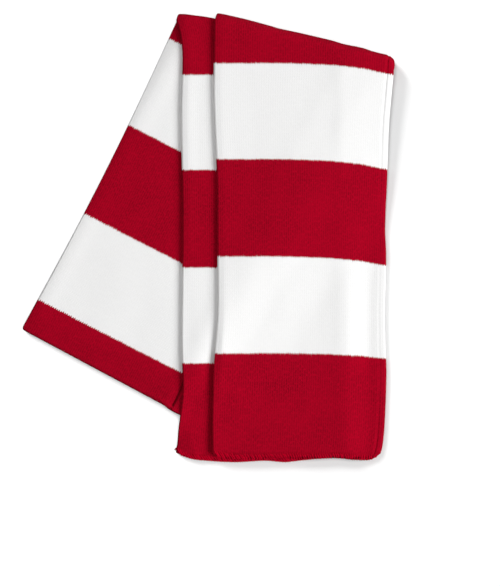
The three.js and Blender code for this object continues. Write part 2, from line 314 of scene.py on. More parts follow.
# %% Mesh of a stretch
def knit_skin(name, points, wale, course):
    """A tube of quads, closed round its columns and open at its two ends, in metres. A quad
    joins a point to the next in its row and to those two in the next row."""
    rows, columns = points.shape[:2]
    corner = np.arange(rows * columns).reshape(rows, columns)
    after = np.roll(corner, -1, axis=1)
    quads = np.stack([corner[:-1], after[:-1], after[1:], corner[1:]], axis=-1).reshape(-1, 4)
    mesh = bpy.data.meshes.new(name)
    mesh.vertices.add(rows * columns)
    mesh.vertices.foreach_set("co", ((points + SHIFT) * MM).ravel())
    mesh.loops.add(quads.size)
    mesh.loops.foreach_set("vertex_index", quads.ravel())
    mesh.polygons.add(len(quads))
    mesh.polygons.foreach_set("loop_start", np.arange(0, quads.size, 4))
    u = np.append(wale, 2 * WALES)
    u_of = np.stack([u[:-1], u[1:], u[1:], u[:-1]], axis=-1)
    v_all = np.concatenate([course, course[:, :1]], axis=1)
    v_of = np.stack([v_all[:-1, :-1], v_all[:-1, 1:], v_all[1:, 1:], v_all[1:, :-1]], axis=-1)
    uv = np.stack([np.broadcast_to(u_of, v_of.shape), v_of], axis=-1)
    layer = mesh.uv_layers.new(name="knit")
    mesh.update()
    layer.data.foreach_set("uv", uv.ravel())
    mesh.shade_smooth()
    mesh.validate()
    piece = bpy.data.objects.new(name, mesh)
    bpy.context.collection.objects.link(piece)
    print(name, "has", 2 * len(quads), "triangles")
    return piece


print("a skin's quads go round", 2 * WALES, "wales")

# %% Points of a skin
FLOOR_GAP = 0.02


def skin_points(centre, outward, across, section, above, below):
    """Points of the skin: from the cloth's middle, out along its outward direction by the
    section's height times the fullness above or below, and the ribs along the skin's normal.
    Nothing goes below the surface it lies on."""
    _, rise, side, wale = section
    fullness = np.where(rise >= 0, above, below)
    normal = outward * rise[None, :, None] + across * side[None, :, None]
    points = centre + outward * (rise * fullness)[..., None] + normal * ribs(wale)[None, :, None]
    points[..., 2] = np.maximum(points[..., 2], FLOOR_GAP)
    return points


print("nothing is lower than", FLOOR_GAP, "mm")


# %% Folds
def fold_over(start, end, way):
    """A fold as a half circle from the upper cloth's last row to the lower cloth: the middle
    moves out along the fold's way by the radius times the sine of the angle, and down with the
    cosine, and the outward direction turns with it."""
    angle = np.linspace(0, np.pi, FOLD_STEPS + 1)[1:, None, None]
    down = (1 - np.cos(angle)) / 2
    radius = (start[:, 2:] - end[:, 2:]) / 2
    centre = start + (end - start) * down + way * radius * np.sin(angle)
    outward = way * np.sin(angle) + np.array([0, 0, 1.0]) * np.cos(angle)
    arc = (angle * radius)[..., 0]
    return centre, np.broadcast_to(outward, centre.shape), arc


def square_to(first, last):
    """Unit direction in plan square to a line, to its left: its direction turned a quarter."""
    way = np.subtract(last, first)
    dx, dy = way / np.hypot(*way)
    return np.array([-dy, dx, 0.0])


UPPER_WAY = square_to(UPPER_FOLD[0].tolist(), UPPER_FOLD[-1].tolist())
UNDER_WAY = square_to(UNDER_FOLD[0].tolist(), UNDER_FOLD[-1].tolist())
BOTTOM_WAY = square_to(BOTTOM_RIGHT, BOTTOM_LEFT)
print("folds face", UPPER_WAY.round(2), UNDER_WAY.round(2), BOTTOM_WAY.round(2))

# %% [markdown]
# ## The two hanging ends
# Each end of the scarf runs from its hem up to its top fold and over it. A flat strip could be
# bent by a modifier, but both folds slant and the edges wander, so each row is placed from the
# tables. Rows lie closer at the hem, where the end seam presses the cloth thin. The bars are
# measured along each stretch: laid knit stretches a little unevenly, and towards its free side
# the upper end's courses sag.

# %% Hems, bars and the crease beside the free edge
# HEM_FORM says how full the cloth is, and how far its underside lifts, at each height up from
# the hem. The BARS tables give the borders of the bars, SAG how far the courses hang lower
# across the width, and the EASE tables how far a side edge is pressed down.
END_WIDTH = 172.0
HEM_STEPS = np.array([0, 0.5, 1.2, 2.0, 3.0, 4.2, 5.5, 7.0, 9.0, 11.5])
HEM_FORM = table("up full lift",
                 (0, 0.7, 0.85), (0.5, 0.82, 0.35), (1.2, 0.89, 0.1), (3, 0.93, 0), (5.5, 0.86, 0),
                 (9, 0.97, 0), (14, 1, 0), (500, 1, 0))
HEM_END = 14.0
HEM_TIP_DROP, HEM_TIP_LENGTH = 0.45, 4.0
UPPER_BARS = table("y bar", (-220.5, 0.0), (-115.1, 1), (-18.5, 2), (78.5, 3), (173.9, 4), (272, 5))
UNDER_BARS = table("y bar", (-222.5, 0.0), (-125, 1), (-29.5, 2), (68, 3), (162.8, 4), (260, 5))
SAG = table("x down", (0, 0), (80, 0.4), (120, 2), (152, 5.2), (176, 9.8), (190, 12))
SAG_SHARE = table("y share", (-220, 0.1), (-115, 0.55), (-18, 0.9), (80, 0.95), (175, 1), (230, 1))
SIDE_CREASE = table("y depth", (-222, 0.9), (-205, 0.8), (-170, 0.4), (-100, 0.2), (40, 0.2),
                    (110, 0.7), (150, 0.9), (185, 0.9), (230, 0.4))
SIDE_CREASE_IN, SIDE_CREASE_WIDTH = 6.8, 1.0
UPPER_LEFT_EASE = table("y down", (-222, 0.1), (-185, 0.0), (-160, 0.3), (-130, 1.5), (-105, 1.5),
                        (-75, 0.6), (60, 0.35), (230, 0.35))
UNDER_LEFT_EASE = table("y down", (-226, 0.0), (-60, 0.0), (20, 0.4), (230, 0.5))
RIGHT_EASE = 0.3
print("the upper end's bars meet at y =", UPPER_BARS["y"][1:5], "mm")

# %% Plan of an end
NEAR_HEM, NEAR_FOLD, IN_FROM_FOLD = -213.0, 200.0, 6.0


def corner_draw(radius, near):
    """How far a round corner draws the fold in: the radius less the circle's height there."""
    short = np.maximum(radius - near, 0)
    return radius - np.sqrt(radius ** 2 - short ** 2)


def end_plan(sides, hem, fold, corners, layer, lower, way, share, near):
    """Plan of an end: each column runs from the hem to the line where its fold begins, which is
    one outer radius in from the fold's outline, and keeps its share of the width all the way."""
    def x_at(y):
        left = curve_through(sides, "y", "left", y)
        return left + share * (curve_through(sides, "y", "right", y) - left)
    hem_y = curve_through(hem, "x", "y", x_at(np.full_like(share, NEAR_HEM)))
    top_x = x_at(curve_through(fold, "x", "y", x_at(np.full_like(share, NEAR_FOLD))))
    radius = np.where(share < 0.5, corners[0], corners[1])
    outline = curve_through(fold, "x", "y", top_x) - corner_draw(radius, near)
    inner_y = outline - IN_FROM_FOLD
    reach = (height_below(layer, top_x, inner_y) + CLOTH - lower(top_x, inner_y)) / 2
    start_y = outline - reach / way[1]
    rest = np.linspace(HEM_END, (start_y - hem_y).mean(), FLAT_ROWS)[1:]
    t = np.concatenate([HEM_STEPS, [HEM_END], rest])[:, None] / rest[-1]
    up = t * (start_y - hem_y)
    y = hem_y + up
    return x_at(y), y, up


print("an end has", len(HEM_STEPS) + FLAT_ROWS, "flat rows and", FOLD_STEPS, "in its fold")


# %% Build an end
def end_stretch(name, layer, sides, hem, fold, corners, bars, lower, way, sags, side_crease, ease):
    """An end: flat rows on the layers below, thinned at the hem, then the fold. Its left edge
    eases down by the given table, so the shade beside it is as wide as in the photo."""
    section = tube_section(END_WIDTH)
    across = section[0]
    share, near = across / END_WIDTH, np.minimum(across, END_WIDTH - across)
    x, y, up = end_plan(sides, hem, fold, corners, layer, lower, way, share, near)
    sag = curve_through(SAG, "x", "down", x) * curve_through(SAG_SHARE, "y", "share", y) * sags
    bar = curve_through(bars, "y", "bar", y + sag)
    tip = HEM_TIP_DROP * (1 - smooth(up / HEM_TIP_LENGTH))
    z = height_below(layer, x, y) + RADIUS - tip
    flat = np.stack([x, y, z], axis=-1)
    end = flat[-1].copy()
    end[:, 2] = lower(end[:, 0], end[:, 1]) + RADIUS
    over, turned, arc = fold_over(flat[-1], end, way)
    centre = np.concatenate([flat, over])
    outward = np.concatenate([np.broadcast_to([0, 0, 1.0], flat.shape), turned])
    bar = np.concatenate([bar, bar[-1] + arc / BAR])
    full = 2 * curve_through(HEM_FORM, "up", "full", up) - 1
    left_ease = curve_through(ease, "y", "down", y)
    own = own_rim(across, END_WIDTH, left_ease, RIGHT_EASE)
    above = RADIUS * full + own + softness(layer, x, y)
    from_line = END_WIDTH - across - SIDE_CREASE_IN
    groove = np.exp(-(from_line / SIDE_CREASE_WIDTH) ** 2) * side_crease
    above = above - groove * curve_through(SIDE_CREASE, "y", "depth", y)
    below = UNDERSIDE * (1 - curve_through(HEM_FORM, "up", "lift", up))
    fade = np.cos(np.linspace(0, np.pi / 2, FOLD_STEPS + 1)[1:, None])
    above = np.concatenate([above, RADIUS + (above[-1] - RADIUS) * fade])
    below = np.concatenate([below, np.full((FOLD_STEPS, x.shape[1]), UNDERSIDE)])
    sideways = np.array([1.0, 0, 0])
    points = skin_points(centre, outward, sideways, section, above, below)
    piece = knit_skin(name, points, section[3], bar * COURSES_PER_BAR)
    return piece, points, end, bar


# %% The upper end and the under end
upper_knit, upper_points, upper_fold_end, upper_bar = end_stretch(
    "upper_end_knit", UPPER, UPPER_SIDES, UPPER_HEM, UPPER_FOLD, (1.5, 8), UPPER_BARS,
    lambda x, y: np.zeros_like(x), UPPER_WAY, 1.0, 1.0, UPPER_LEFT_EASE)
under_knit, under_points, under_fold_end, under_bar = end_stretch(
    "under_end_knit", UNDER, UNDER_SIDES, UNDER_HEM, UNDER_FOLD, (3, 3), UNDER_BARS,
    lambda x, y: height_below(FRONT, x, y), UNDER_WAY, 0.0, 0.0, UNDER_LEFT_EASE)

# %% [markdown]
# ## The middle
# The middle's front starts under the under end's fold, runs down the slanted leg and turns under
# at the bottom fold. Its back lies on the surface below everything and meets the upper end's
# fold. They could be one long tube with the ends, but each stretch stands for its own solid, so
# the tube is parted where nobody sees it. A point keeps its share of the width, and its bars
# are counted from the same hem.

# %% Lines and rows of the middle
LEG_TURN = np.radians(27)
FRONT_DOWN = np.array([-np.sin(LEG_TURN), -np.cos(LEG_TURN), 0])
FRONT_BARS = table("down bar", (-260, 3.97), (-160, 5), (-64.6, 6), (34.5, 7), (132, 8), (230, 9))
BOTTOM_CORNER = 2.0
FRONT_ROWS, BACK_ROWS = 78, 40


def step_back(points, way):
    """The line of points one gap back from a fold, drawn in one gap at both sides."""
    along = (points[-1] - points[0]) * [1, 1, 0]
    along = along / np.linalg.norm(along)
    return points - way * GAP + along * GAP * np.linspace(1, -1, len(points))[:, None]


def upper_half(line):
    """The half of a section's points that runs over the top, from the left edge to the right."""
    return line[: WALES * POINTS_PER_WALE + 1]


def bottom_line(share, near, reach, flare):
    """Where the bottom fold begins: its outline moved in by the outer radius and the corner."""
    line = BOTTOM_RIGHT - BOTTOM_LEFT
    width = np.hypot(*line)
    along = share * (1 + flare / width)
    corner = np.where(share < 0.5, corner_draw(BOTTOM_CORNER, near), 0)
    plan = BOTTOM_LEFT + line * along[:, None] - BOTTOM_WAY[:2] * (reach + corner)[:, None]
    return np.concatenate([plan, np.zeros((len(share), 1))], axis=1)


def middle_rows(layer, tops, bottoms, rows, bow, share):
    """Rows between a top line and a bottom line, bowed at the left, laid on what is below."""
    t = np.linspace(0, 1, rows)[:, None, None]
    flat = tops + (bottoms - tops) * t
    flat[..., 0] += bow * np.sin(np.pi * t[..., 0]) * (1 - share)
    flat[..., 2] = height_below(layer, flat[..., 0], flat[..., 1]) + RADIUS
    return flat


MIDDLE_WIDTH = 168.0
middle_section = tube_section(MIDDLE_WIDTH)
middle_share = middle_section[0] / MIDDLE_WIDTH
middle_near = np.minimum(middle_section[0], MIDDLE_WIDTH - middle_section[0])
bottom_reach = (LAYER + CLOTH) / 2
print("bottom fold turns on a radius of", bottom_reach, "mm")

# %% Where the middle's front begins and ends
# FLAP is how far the small corner of the back is turned up beside the front, SINK how far the
# front comes down beside the bottom fold, and ROLL the power of the cosine that rounds it off.
under_line = step_back(upper_half(under_fold_end), UNDER_WAY)
line_share = upper_half(tube_section(END_WIDTH)[0]) / END_WIDTH
front_tops = np.stack([np.interp(middle_share, line_share, under_line[:, i]) for i in range(3)], -1)
FLAP, FLAP_FROM, FLAP_WIDTH = 4.0, 0.2, 2.4
SINK, SINK_OVER, ROLL = 1.8, 18.0, 4
bottom_length = np.hypot(*(BOTTOM_RIGHT - BOTTOM_LEFT))
past_front = middle_share * (bottom_length + BACK_FLARE) - bottom_length
corner_lift = FLAP * smooth((past_front - FLAP_FROM) / FLAP_WIDTH)
front_bottoms = bottom_line(middle_share, middle_near, bottom_reach, 0)
front_end = bottom_line(middle_share, middle_near, bottom_reach - corner_lift, BACK_FLARE)
front_end[:, 2] = RADIUS + corner_lift
print("the bottom fold is", bottom_length.round(1), "mm wide on the front")

# %% The middle's front
front_flat = middle_rows(FRONT, front_tops, front_bottoms, FRONT_ROWS, FRONT_BOW, middle_share)
front_over, front_turned, front_arc = fold_over(front_flat[-1], front_end, BOTTOM_WAY)
front_centre = np.concatenate([front_flat, front_over])
front_out = np.concatenate([np.broadcast_to([0, 0, 1.0], front_flat.shape), front_turned])
front_bar = curve_through(FRONT_BARS, "down", "bar", front_flat @ FRONT_DOWN)
front_bar = np.concatenate([front_bar, front_bar[-1] + front_arc / BAR])
front_above = RADIUS + own_rim(middle_section[0], MIDDLE_WIDTH, left=0.05, right=0.4)
from_fold = (front_flat[-1] - front_flat)[..., :2] @ BOTTOM_WAY[:2]
front_soft = softness(FRONT, front_flat[..., 0], front_flat[..., 1])
front_soft = front_soft - SINK * (1 - smooth(from_fold / SINK_OVER))
roll = np.cos(np.linspace(0, np.pi / 2, FOLD_STEPS + 1)[1:, None]) ** ROLL
front_soft = np.concatenate([front_soft, front_soft[-1] * roll])
front_side = np.array([-BOTTOM_WAY[1], BOTTOM_WAY[0], 0.0])
front_points = skin_points(front_centre, front_out, front_side, middle_section,
                           front_above + front_soft, UNDERSIDE)
front_knit = knit_skin("middle_front_knit", front_points[::-1], middle_section[3],
                       front_bar[::-1] * COURSES_PER_BAR)

# %% The middle's back
upper_line = step_back(upper_half(upper_fold_end), UPPER_WAY)
back_tops = np.stack([np.interp(middle_share, line_share, upper_line[:, i]) for i in range(3)], -1)
HAIRLINE = 0.06
LAST_BAR = 8.45
FLAP_BELOW, FLAP_FADE = -140, 15
back_reach = bottom_reach - corner_lift + HAIRLINE
back_bottoms = bottom_line(middle_share, middle_near, back_reach, BACK_FLARE)
back_flat = middle_rows(BACK, back_tops, back_bottoms, BACK_ROWS, 0, middle_share)
top_bar = np.interp(middle_share, line_share, upper_half(upper_bar[-1]))
back_bar = top_bar + (LAST_BAR - top_bar) * np.linspace(0, 1, BACK_ROWS)[:, None]
back_out = np.broadcast_to([0, 0, 1.0], back_flat.shape)
front_edge = MIDDLE_FRONT_CORNERS[2] - MIDDLE_FRONT_CORNERS[1]
beside = (back_flat[..., :2] - MIDDLE_FRONT_CORNERS[1]) @ (front_edge[::-1] * [1, -1])
beside = beside / np.hypot(*front_edge)
low_down = smooth((FLAP_BELOW - back_flat[..., 1]) / FLAP_FADE)
flap = FLAP * smooth((beside - FLAP_FROM) / FLAP_WIDTH) * low_down
print("the flap stands", flap.max().round(1), "mm above the rest of the back")
back_above = UNDERSIDE + flap
back_points = skin_points(back_flat, back_out, front_side, middle_section, back_above, UNDERSIDE)
back_knit = knit_skin("middle_back_knit", back_points[::-1], middle_section[3],
                      back_bar[::-1] * COURSES_PER_BAR)

# %% [markdown]
# ## Sewn hems
# Each end of the tube is closed by an overlocked seam: loops of yarn wrap the two plies over
# their raw edge, that edge rolls a little, and a few loose yarn ends stick out at a corner. A
# stitch pattern in the finish would do from afar, but the loops show at the very edge, against
# the floor. So one loop is a thin tube carried along a short path on the cloth, and all the
# loops of a hem are worked out together.

# %% Places on a ply
HEM_UP = np.append(HEM_STEPS, HEM_END)
HALF = WALES * POINTS_PER_WALE


def on_ply(points, up, column, under=False):
    """The place on a ply that is that far up from the hem, at that column: each coordinate is
    mixed between the four grid points round it by how near they are."""
    row = np.interp(up, HEM_UP, np.arange(len(HEM_UP)))
    column = 2 * HALF - column if under else column
    r, c = np.floor(row).astype(int), np.floor(column).astype(int)
    fr, fc = (row - r)[..., None], (column - c)[..., None]
    right = (c + 1) % (2 * HALF)
    near = points[r, c] * (1 - fc) + points[r, right] * fc
    far = points[r + 1, c] * (1 - fc) + points[r + 1, right] * fc
    return near * (1 - fr) + far * fr


print("the upper hem's left corner is at", on_ply(upper_points, 0.0, 0.0).round(1), "mm")

# %% Yarns as thin tubes
YARN = 0.5
YARN_SIDES = 6
YARN_LOWEST = 0.05
TILT = [0.31, 0.17, 0.93]


def yarns(name, paths, radius):
    """Many yarns at once: round each path a ring of points turns in the plane square to the
    path, and shrinks to a point at both ends so that each yarn is closed."""
    count, length = paths.shape[:2]
    way = np.gradient(paths, axis=1)
    way /= np.linalg.norm(way, axis=2, keepdims=True)
    first = np.cross(way, TILT)
    first /= np.linalg.norm(first, axis=2, keepdims=True)
    second = np.cross(way, first)
    turn = 2 * np.pi * np.arange(YARN_SIDES) / YARN_SIDES
    size = radius * np.sqrt(np.clip(1 - np.linspace(-1, 1, length) ** 8, 0.02, 1))
    ring = first[:, :, None] * np.cos(turn)[:, None] + second[:, :, None] * np.sin(turn)[:, None]
    points = paths[:, :, None] + ring * size[:, None, None]
    points[..., 2] = np.maximum(points[..., 2], YARN_LOWEST)
    corner = np.arange(count * length * YARN_SIDES).reshape(count, length, YARN_SIDES)
    after = np.roll(corner, -1, axis=2)
    sides = np.stack([corner[:, :-1], after[:, :-1], after[:, 1:], corner[:, 1:]], -1)
    caps = corner[:, 0, ::-1].tolist() + corner[:, -1].tolist()
    faces = sides.reshape(-1, 4).tolist() + caps
    mesh = bpy.data.meshes.new(name)
    mesh.from_pydata(((points + SHIFT) * MM).reshape(-1, 3).tolist(), [], faces)
    mesh.shade_smooth()
    piece = bpy.data.objects.new(name, mesh)
    bpy.context.collection.objects.link(piece)
    print(name, "has", count, "yarns")
    return piece


print("a yarn is", 2 * YARN, "mm thick and has", YARN_SIDES, "sides")

# %% Overlock loops
LOOP_EVERY, LOOP_TALL, LOOP_SLANT = 4.6, 5.0, 7.0


def hem_stitches(name, points, seed):
    """Overlock loops: each starts on the upper ply, slants down to the raw edge, goes round it
    half a millimetre outside, and ends on the lower ply."""
    wobble = np.random.default_rng(seed)
    start = np.arange(4, HALF - 12, LOOP_EVERY)
    start = start + wobble.uniform(-0.9, 0.9, len(start))
    tall = LOOP_TALL + wobble.uniform(-0.9, 0.6, len(start))
    down = np.array([1.0, 0.8, 0.6, 0.4, 0.2, 0.05])
    lift = np.array([0.05, 0.3, 0.36, 0.38, 0.4, 0.42])
    top = on_ply(points, tall[:, None] * down, start[:, None] + LOOP_SLANT * (1 - down))
    top = top + lift[:, None] * [0, 0, 1.0]
    edge = start[:, None] + LOOP_SLANT
    tip = on_ply(points, np.zeros((len(start), 1)), edge + 0.2) + [0, -0.45, -0.1]
    low = on_ply(points, tall[:, None] * down[:2:-1], edge + 0.4 + down[:2:-1], True)
    low = low - 0.3 * np.array([0, 0, 1.0])
    return yarns(name, np.concatenate([top, tip, low], axis=1), YARN)


upper_hem = hem_stitches("upper_hem_overlock", upper_points, 4)
under_hem = hem_stitches("under_hem_overlock", under_points, 9)

# %% Rolled edge of each hem
ROLL_WAVE, ROLL_PERIOD = 0.12, 6


def rolled_edge(name, points):
    """A yarn along the raw edge, midway between the plies, with a short wave along it."""
    column = np.linspace(1, HALF - 2, 460)
    zero = np.zeros_like(column)
    middle = (on_ply(points, zero, column) + on_ply(points, zero, column, True)) / 2
    wave = ROLL_WAVE * np.sin(2 * np.pi * column / ROLL_PERIOD)
    return yarns(name, (middle + wave[:, None] * [0, 0.6, 1.0])[None], YARN)


upper_roll = rolled_edge("upper_hem_edge", upper_points)
under_roll = rolled_edge("under_hem_edge", under_points)

# %% Loose yarn at the hems' left corners
THIN_YARN = 0.4


def loose_yarn(name, root, lengths, turns, seed):
    """Short yarn ends that stick out of a seam's corner: each leaves it at its own angle, bends
    sideways in half a sine wave and comes down a little."""
    wobble = np.random.default_rng(seed)
    t = np.linspace(0, 1, 7)
    ways = np.radians(np.array(turns, float))[:, None]
    lengths = np.array(lengths)[:, None]
    bend = wobble.uniform(-0.5, 0.5, len(turns))[:, None] * np.sin(np.pi * t)
    x = root[0] + lengths * t * np.cos(ways) - bend * np.sin(ways)
    y = root[1] + lengths * t * np.sin(ways) + bend * np.cos(ways)
    z = root[2] + wobble.uniform(-0.6, 0.6, len(turns))[:, None] - 0.5 * t
    return yarns(name, np.stack([x, y, z], axis=-1), THIN_YARN)


under_tuft = loose_yarn("under_hem_yarn_end", (-31.0, -211.6, 2.4),
                        (1.8, 2.6, 3.0, 2.9, 2.5, 1.6), (146, 165, 182, 196, 212, 232), 3)
upper_tuft = loose_yarn("upper_hem_yarn_end", (6.2, -214.6, 7.4), (1.8, 2.4, 1.6),
                        (165, 190, 225), 6)

# %% [markdown]
# ## The knit's finish
# The yarn is fine red and white acrylic. The stripes change on a whole course, so their border
# has small teeth, one for each stitch column. A picture of knit would repeat and slide at the
# folds. The UV map counts stitches, so a stripe is just the count of courses over sixty, odd or
# even, and the stitches' V shape comes of the same numbers. Short dark dashes of painted shade
# lie in the grooves between the columns, and a broken dark line of painted shade lies in each
# hem's seam, with the cloth under its loops darkened too. A soft sheen stands for the fuzz of
# the yarn.

# %% Helpers for shader nodes
RED = (0.376, 0.0, 0.0137, 1.0)
WHITE = (0.92, 0.92, 0.916, 1.0)
TURN = 6.2832


def new_material(name):
    """A new material with a Principled shader, its tree of nodes, and that shader."""
    material = bpy.data.materials.new(name)
    material.use_nodes = True
    tree = material.node_tree
    shader = next(node for node in tree.nodes if node.type == "BSDF_PRINCIPLED")
    return material, tree, shader


def math_node(tree, kind, *values):
    """A Math node of that kind: each value is a number or another node's output."""
    node = tree.nodes.new("ShaderNodeMath")
    node.operation = kind
    for socket, value in zip(node.inputs, values):
        if isinstance(value, (int, float)):
            socket.default_value = value
        else:
            tree.links.new(value, socket)
    return node.outputs[0]


def mix_colours(tree, factor, first, second, blend="MIX"):
    """A Mix node for colours: the factor and both colours are constants or outputs."""
    node = tree.nodes.new("ShaderNodeMix")
    node.data_type = "RGBA"
    node.blend_type = blend
    for index, value in ((0, factor), (6, first), (7, second)):
        if isinstance(value, (float, tuple)):
            node.inputs[index].default_value = value
        else:
            tree.links.new(value, node.inputs[index])
    return node.outputs[2]


print("the yarns are red", RED[:3], "and white", WHITE[:3])

# %% Striped knit material: stitches counted by the UV map
knit, tree, shader = new_material("striped knit")
stitch = tree.nodes.new("ShaderNodeUVMap")
stitch.uv_map = "knit"
split = tree.nodes.new("ShaderNodeSeparateXYZ")
tree.links.new(stitch.outputs[0], split.inputs[0])
wale, course = split.outputs[0], split.outputs[1]
in_wale = math_node(tree, "ABSOLUTE", math_node(tree, "SUBTRACT", math_node(tree, "FRACT", wale), 0.5))
leg = math_node(tree, "COSINE", math_node(tree, "MULTIPLY", in_wale, TURN))
print("stitches are counted by the UV map named", stitch.uv_map)

# %% Teeth and stripes
TOOTH, PAIR, ODD, WANDER, TOOTH_MIDDLE = 2.4, 0.5, 0.4, 0.6, 1.2
wale_number = math_node(tree, "FLOOR", wale)
odd_wale = tree.nodes.new("ShaderNodeTexWhiteNoise")
odd_wale.noise_dimensions = "1D"
tree.links.new(wale_number, odd_wale.inputs["W"])
wander = tree.nodes.new("ShaderNodeTexNoise")
wander.noise_dimensions = "1D"
wander.inputs["Scale"].default_value = 0.11
tree.links.new(wale_number, wander.inputs["W"])
half_wale = math_node(tree, "FRACT", math_node(tree, "MULTIPLY", wale, 0.5))
in_pair = math_node(tree, "ABSOLUTE", math_node(tree, "SUBTRACT", half_wale, 0.5))
teeth = math_node(tree, "ADD", math_node(tree, "MULTIPLY", in_wale, TOOTH),
                  math_node(tree, "MULTIPLY", in_pair, PAIR))
teeth = math_node(tree, "ADD", teeth, math_node(tree, "MULTIPLY", odd_wale.outputs[0], ODD))
teeth = math_node(tree, "ADD", teeth, math_node(tree, "MULTIPLY", wander.outputs[0], WANDER))
toothed = math_node(tree, "ADD", course, math_node(tree, "SUBTRACT", teeth, TOOTH_MIDDLE))
bar_count = math_node(tree, "FLOOR", math_node(tree, "DIVIDE", toothed, float(COURSES_PER_BAR)))
is_white = math_node(tree, "MODULO", bar_count, 2.0)
colour = mix_colours(tree, is_white, RED, WHITE)
print("a tooth is", round(TOOTH / 2 * BAR / COURSES_PER_BAR, 1), "mm high")


# %% Uneven yarn
def noise(tree, vector, scale, detail):
    """A Noise texture on that vector: its value swings about one half."""
    node = tree.nodes.new("ShaderNodeTexNoise")
    node.inputs["Scale"].default_value = scale
    node.inputs["Detail"].default_value = detail
    tree.links.new(vector, node.inputs["Vector"])
    return node.outputs[0]


def ramp(tree, value, low, high):
    """A Map Range node: 0 at low, 1 at high, straight between and held beyond."""
    node = tree.nodes.new("ShaderNodeMapRange")
    node.inputs["From Min"].default_value = low
    node.inputs["From Max"].default_value = high
    tree.links.new(value, node.inputs["Value"])
    return node.outputs[0]


def times(tree, *values):
    """The product of several values: one Math node for each further value."""
    product = values[0]
    for value in values[1:]:
        product = math_node(tree, "MULTIPLY", product, value)
    return product


place = tree.nodes.new("ShaderNodeTexCoord").outputs["Object"]
STREAK = 0.6
stretch = tree.nodes.new("ShaderNodeMapping")
stretch.inputs["Scale"].default_value = (1.0, STREAK, 1.0)
tree.links.new(stitch.outputs[0], stretch.inputs["Vector"])
streaks = noise(tree, stretch.outputs[0], 1.0, 1.0)
clouds = noise(tree, place, 42.0, 3.0)
print("dark dashes are about", round(BAR / COURSES_PER_BAR / STREAK, 1), "mm long")

# %% Dark dashes of painted shade between the stitches
DARK_ON_RED, LESS_ON_WHITE = 0.5, 0.46
GRAIN, SWING, LIFT = 0.2, 0.06, 0.2
# Painted shade: the grooves between the stitch columns are darkened in uneven dashes and patches, less
# on white.
groove = math_node(tree, "SUBTRACT", 0.5, math_node(tree, "MULTIPLY", leg, 0.5))
less = math_node(tree, "MULTIPLY", is_white, LESS_ON_WHITE)
depth = math_node(tree, "SUBTRACT", DARK_ON_RED, less)
dashes = ramp(tree, streaks, 0.36, 0.56)
patches = ramp(tree, clouds, 0.30, 0.70)
some = math_node(tree, "ADD", math_node(tree, "MULTIPLY", patches, 0.45), 0.5)
dash_painted_shade = times(tree, groove, dashes, some, depth)
print("the dashes darken red by up to", DARK_ON_RED)

# %% A grain of half stitches
cells = tree.nodes.new("ShaderNodeTexWhiteNoise")
cells.noise_dimensions = "2D"
halves = tree.nodes.new("ShaderNodeVectorMath")
halves.operation = "FLOOR"
doubled = tree.nodes.new("ShaderNodeVectorMath")
doubled.operation = "MULTIPLY"
doubled.inputs[1].default_value = (2.0, 1.0, 1.0)
tree.links.new(stitch.outputs[0], doubled.inputs[0])
tree.links.new(doubled.outputs[0], halves.inputs[0])
tree.links.new(halves.outputs[0], cells.inputs["Vector"])
grain = times(tree, math_node(tree, "SUBTRACT", cells.outputs[0], 0.5), depth, GRAIN)
swing = times(tree, math_node(tree, "SUBTRACT", patches, 0.5), depth, SWING)
bright = math_node(tree, "SUBTRACT", math_node(tree, "SUBTRACT", 1.0, dash_painted_shade), swing)
bright = math_node(tree, "ADD", math_node(tree, "ADD", bright, grain), times(tree, depth, LIFT))
print("the grain swings red by", DARK_ON_RED * GRAIN / 2, "each way")

# %% Painted shade in the hem seam
SHADE_LINE_COURSE, SHADE_LINE_DARK, LOOP_SHADE = 0.6, 0.8, 0.1
# Painted shade: a broken dark line about a millimetre up from the hem, and the cloth under the seam's
# loops darkened.
wale_along = noise(tree, stretch.outputs[0], 0.2, 1.0)
from_row = math_node(tree, "ABSOLUTE", math_node(tree, "SUBTRACT", course, SHADE_LINE_COURSE))
hem_shade_line = ramp(tree, from_row, 0.8, 0.3)
hem_shade_line = times(tree, hem_shade_line, ramp(tree, wale_along, 0.46, 0.54), SHADE_LINE_DARK)
shade_under_loops = times(tree, ramp(tree, course, 4.6, 3.4), LOOP_SHADE)
bright = times(tree, bright, math_node(tree, "SUBTRACT", 1.0, hem_shade_line))
bright = times(tree, bright, math_node(tree, "SUBTRACT", 1.0, shade_under_loops))
tone = tree.nodes.new("ShaderNodeCombineColor")
for socket in tone.inputs:
    tree.links.new(bright, socket)
colour = mix_colours(tree, 1.0, colour, tone.outputs[0], "MULTIPLY")
tree.links.new(colour, shader.inputs["Base Color"])
# The needle row in this print is that line of painted shade.
print("the needle row is", round(SHADE_LINE_COURSE * BAR / COURSES_PER_BAR, 1), "mm up from the hem")

# %% Stitch relief and fuzz
LEG_SLANT, ROW_HEIGHT, STREAK_HEIGHT, FLATTER_WHITE = 1.6, 0.5, 1.5, 0.6
slant = math_node(tree, "SUBTRACT", course, math_node(tree, "MULTIPLY", in_wale, LEG_SLANT))
row_wave = math_node(tree, "COSINE", math_node(tree, "MULTIPLY", slant, TURN))
fuzz = noise(tree, place, 1800.0, 2.0)
relief = math_node(tree, "ADD", math_node(tree, "MULTIPLY", row_wave, ROW_HEIGHT), fuzz)
relief = math_node(tree, "ADD", relief, math_node(tree, "MULTIPLY", streaks, STREAK_HEIGHT))
flatter = math_node(tree, "MULTIPLY", is_white, FLATTER_WHITE)
relief = times(tree, relief, math_node(tree, "SUBTRACT", 1.0, flatter))
bump = tree.nodes.new("ShaderNodeBump")
bump.inputs["Strength"].default_value = 0.5
bump.inputs["Distance"].default_value = 0.0003
tree.links.new(relief, bump.inputs["Height"])
tree.links.new(bump.outputs[0], shader.inputs["Normal"])
shader.inputs["Roughness"].default_value = 0.92
shader.inputs["Specular IOR Level"].default_value = 0.03
shader.inputs["Sheen Weight"].default_value = 0.04
